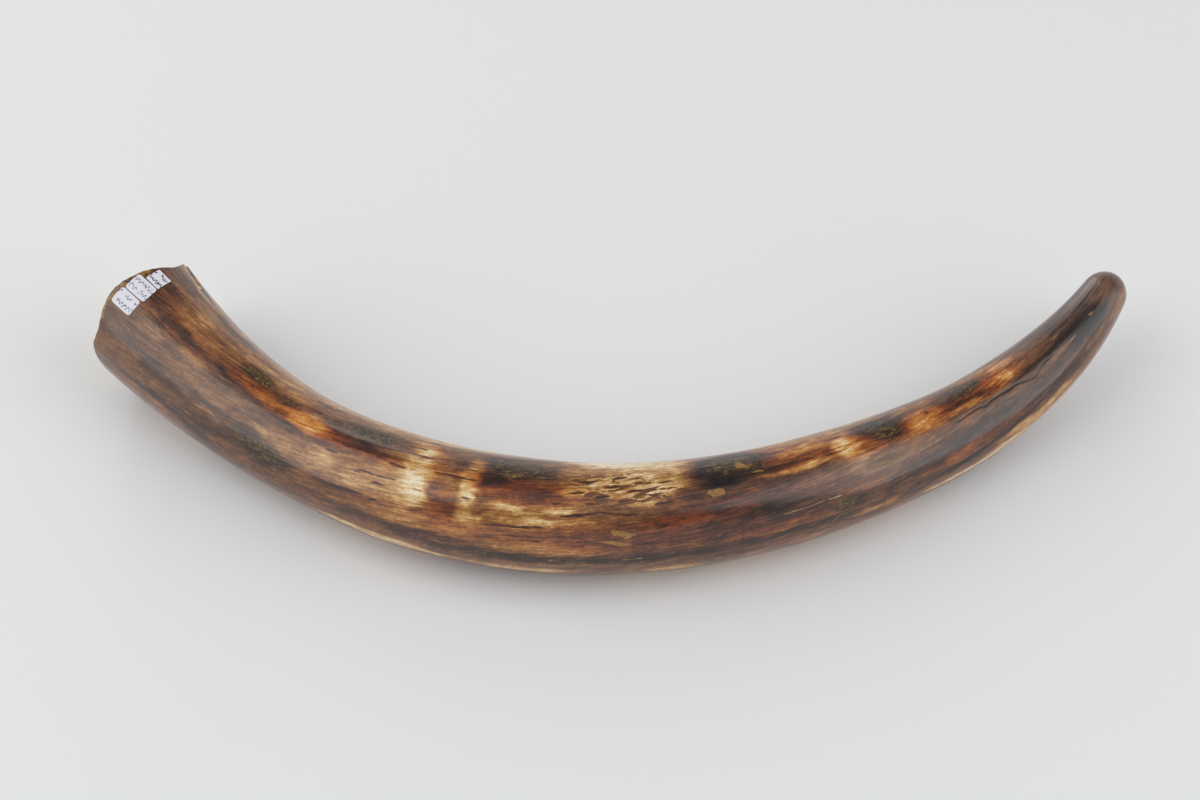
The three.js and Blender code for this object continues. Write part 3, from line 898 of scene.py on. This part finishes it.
gloss = add_node(
    ivory_tree, "ShaderNodeMapRange", None,
    {"Value": mottle, "From Min": -1.2, "From Max": 1.2, "To Min": 0.17, "To Max": 0.27},
)
roughness = blend(gloss.outputs["Result"], [(painted["end_face"], FACE_DULLNESS)])
ivory_tree.links.new(roughness, ivory_shader.inputs["Roughness"])
bump = add_node(
    ivory_tree, "ShaderNodeBump", None,
    {"Strength": 0.35, "Distance": GRAIN_RIDGE, "Height": blend(middling, [(fine, 0.5)])},
)
ivory_tree.links.new(bump.outputs["Normal"], ivory_shader.inputs["Normal"])
ivory_shader.inputs["IOR"].default_value = 1.54
ivory_shader.inputs["Coat Weight"].default_value = 0.25
ivory_shader.inputs["Coat Roughness"].default_value = 0.1
tusk.data.materials.clear()
tusk.data.materials.append(ivory)


# ---- The paper labels ---------------------------------------------------------------------

# Each label's middle is a place along and an arc round the tusk from its top, in mm.
LABELS = {
    "label_square": {
        "place": 8.8, "arc": -7.6, "length": 9.4, "width": 9.6, "corner": 0.4, "turn": -5,
    },
    "label_upper": {
        "place": 7.9, "arc": 3.3, "length": 13.6, "width": 10.6, "corner": 1.6, "turn": -7,
    },
    "label_lower": {
        "place": 8.2, "arc": 14.1, "length": 13.4, "width": 9.8, "corner": 1.8, "turn": -6,
    },
}
PAPER_LIFT = 0.12  # mm of glue under the paper
PAPER_THICKNESS = 0.11
PAPER_CUT = 0.8  # mm between the cuts that let the sheet bend
PAPER_CURL = 0.12  # mm that the ends of a label lift
ROW_SHIFT = 5  # along the rows for each mm of arc, so that no two labels are marked alike


def paper_sheet(name, length, width, corner):
    """A flat sheet with rounded corners, cut across so that it can wrap the tusk."""
    bpy.ops.object.select_all(action="DESELECT")
    bpy.ops.mesh.primitive_plane_add(size=1)
    sheet = bpy.context.object
    sheet.name = name
    sheet.scale = (length * MM, width * MM, 1)
    bpy.ops.object.transform_apply(location=False, rotation=False, scale=True)
    edit(sheet)
    bpy.ops.mesh.select_all(action="SELECT")
    bpy.ops.mesh.bevel(offset=corner * MM, segments=6, affect="VERTICES")
    for side, direction in ((length, (1, 0, 0)), (width, (0, 1, 0))):
        count = int(side / PAPER_CUT)
        for cut in range(1, count):
            where = (cut / count - 0.5) * side * MM
            bpy.ops.mesh.select_all(action="SELECT")
            bpy.ops.mesh.bisect(
                plane_co=[where * part for part in direction], plane_no=direction
            )
    bpy.ops.object.mode_set(mode="OBJECT")
    return sheet


def label(name, place, arc, length, width, corner, turn):
    """A paper label bent onto the tusk, following its relief."""
    sheet = paper_sheet(name + "_paper", length, width, corner)
    flat = read_places(sheet)
    write_attribute(sheet, "paper", (flat + (ROW_SHIFT * arc, 0, 0)) * MM)
    swing = math.radians(turn)
    round_by = arc - flat[:, 1] * math.cos(swing) + flat[:, 0] * math.sin(swing)
    here = place + flat[:, 0] * math.cos(swing) + flat[:, 1] * math.sin(swing)
    paper_angle = round_by / radius_at(here)
    grain_here = grain_places(here, np.degrees(paper_angle), 1)
    curl = PAPER_CURL * (np.abs(flat[:, 0]) / (length / 2)) ** 6
    out = radius_at(here) + relief(grain_here) + PAPER_LIFT + curl
    write_places(sheet, bent(here, paper_angle, out))
    apply_modifier(sheet, "SOLIDIFY", thickness=PAPER_THICKNESS * MM, offset=1)
    bpy.ops.object.shade_smooth_by_angle(angle=math.radians(40))
    return sheet


SWELL_LENGTH = 2.1  # mm along a row over which the strokes grow and shrink
LEAST_STROKE = 0.3  # mm
GAP_LENGTH = 3.4  # mm
FIBRE_SIZE = 0.5  # mm, coarser than real paper fibre, so that it shows


def label_paper(name, ink, pen, row_height, wave):
    """Matte sticker paper with rows of pen strokes that spell nothing: each row is a line
    that waves up and down, tall in some places and flat in others, with gaps."""
    material, tree, shader = new_material(name)
    wave_turn = 2 * math.pi / (wave * MM)
    place = add_node(tree, "ShaderNodeAttribute", {"attribute_name": "paper"})
    split = add_node(tree, "ShaderNodeSeparateXYZ", None, {0: place.outputs["Vector"]})

    # Where each point is in its own row, and which row that is.
    up_the_row = add_node(
        tree, "ShaderNodeMath", {"operation": "WRAP"},
        {0: split.outputs["Y"], 1: row_height * MM, 2: 0.0},
    )
    in_row = add_node(
        tree, "ShaderNodeMath", {"operation": "SUBTRACT"},
        {0: up_the_row.outputs[0], 1: row_height / 2 * MM},
    )
    row = add_node(
        tree, "ShaderNodeMath", {"operation": "SUBTRACT"},
        {0: split.outputs["Y"], 1: in_row.outputs[0]},
    )
    row_place = add_node(
        tree, "ShaderNodeCombineXYZ", None,
        {"X": split.outputs["X"], "Y": row.outputs[0]},
    )

    # The line waves by a sine whose height and pace change along the row.
    swell = add_node(
        tree, "ShaderNodeTexNoise", None,
        {"Vector": row_place.outputs["Vector"], "Scale": 1 / (SWELL_LENGTH * MM), "Detail": 1},
    )
    height = add_node(
        tree, "ShaderNodeMapRange", None,
        {"Value": swell.outputs["Fac"], "From Min": 0.35, "From Max": 0.65,
         "To Min": LEAST_STROKE * MM, "To Max": 0.3 * row_height * MM},
    )
    hurry = add_node(
        tree, "ShaderNodeMath", {"operation": "MULTIPLY"}, {0: swell.outputs["Fac"], 1: 14.0},
    )
    phase = add_node(
        tree, "ShaderNodeMath", {"operation": "MULTIPLY_ADD"},
        {0: split.outputs["X"], 1: wave_turn, 2: hurry.outputs[0]},
    )
    swing = add_node(tree, "ShaderNodeMath", {"operation": "SINE"}, {0: phase.outputs[0]})
    line_place = add_node(
        tree, "ShaderNodeMath", {"operation": "MULTIPLY"},
        {0: swing.outputs[0], 1: height.outputs["Result"]},
    )
    offset = add_node(
        tree, "ShaderNodeMath", {"operation": "SUBTRACT"},
        {0: in_row.outputs[0], 1: line_place.outputs[0]},
    )

    # Where the line is steep, its distance is shortened so that it keeps its width.
    lean = add_node(tree, "ShaderNodeMath", {"operation": "COSINE"}, {0: phase.outputs[0]})
    rise = add_node(
        tree, "ShaderNodeMath", {"operation": "MULTIPLY"},
        {0: lean.outputs[0], 1: height.outputs["Result"]},
    )
    slope = add_node(
        tree, "ShaderNodeMath", {"operation": "MULTIPLY"}, {0: rise.outputs[0], 1: wave_turn},
    )
    squared = add_node(
        tree, "ShaderNodeMath", {"operation": "MULTIPLY_ADD"},
        {0: slope.outputs[0], 1: slope.outputs[0], 2: 1.0},
    )
    steep = add_node(tree, "ShaderNodeMath", {"operation": "SQRT"}, {0: squared.outputs[0]})
    apart = add_node(tree, "ShaderNodeMath", {"operation": "ABSOLUTE"}, {0: offset.outputs[0]})
    away = add_node(
        tree, "ShaderNodeMath", {"operation": "DIVIDE"},
        {0: apart.outputs[0], 1: steep.outputs[0]},
    )
    drawn = add_node(
        tree, "ShaderNodeMapRange", {"interpolation_type": "SMOOTHSTEP"},
        {"Value": away.outputs[0], "From Min": pen * 0.65 * MM, "From Max": pen * 0.4 * MM},
    )
    gaps = add_node(
        tree, "ShaderNodeTexNoise", None,
        {"Vector": row_place.outputs["Vector"], "Scale": 1 / (GAP_LENGTH * MM), "Detail": 0},
    )
    written = add_node(
        tree, "ShaderNodeMapRange", {"interpolation_type": "SMOOTHSTEP"},
        {"Value": gaps.outputs["Fac"], "From Min": 0.34, "From Max": 0.37},
    )
    inked = add_node(
        tree, "ShaderNodeMath", {"operation": "MULTIPLY"},
        {0: drawn.outputs["Result"], 1: written.outputs["Result"]},
    )
    fibre = add_node(
        tree, "ShaderNodeTexNoise", None,
        {"Vector": place.outputs["Vector"], "Scale": 1 / (FIBRE_SIZE * MM), "Detail": 4},
    )
    paper_colour = add_node(
        tree, "ShaderNodeMix", {"data_type": "RGBA"},
        {MIX_FACTOR: fibre.outputs["Fac"], MIX_UNDER: linear("#dedbe6"),
         MIX_OVER: linear("#eeecf2")},
    )
    coloured = add_node(
        tree, "ShaderNodeMix", {"data_type": "RGBA"},
        {MIX_FACTOR: inked.outputs[0], MIX_UNDER: paper_colour.outputs[MIX_RESULT],
         MIX_OVER: linear(ink)},
    )
    tree.links.new(coloured.outputs[MIX_RESULT], shader.inputs["Base Color"])
    shader.inputs["Roughness"].default_value = 0.6
    return material


pen_paper = label_paper(
    "sticker paper with pen marks", ink="#6f738b", pen=0.42, row_height=4.7, wave=2.4
)
bold_paper = label_paper(
    "sticker paper with bold marks", ink="#3c3c44", pen=0.62, row_height=4.4, wave=3.2
)
papers = []
for node_name, numbers in LABELS.items():
    sheet = label(node_name, **numbers)
    sheet.data.materials.clear()
    sheet.data.materials.append(bold_paper if node_name == "label_square" else pen_paper)
    papers.append((sheet, node_name))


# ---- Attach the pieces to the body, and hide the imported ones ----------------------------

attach(tusk, "root")
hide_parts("tusk")
for sheet, node_name in papers:
    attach(sheet, "root")
    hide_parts(node_name)
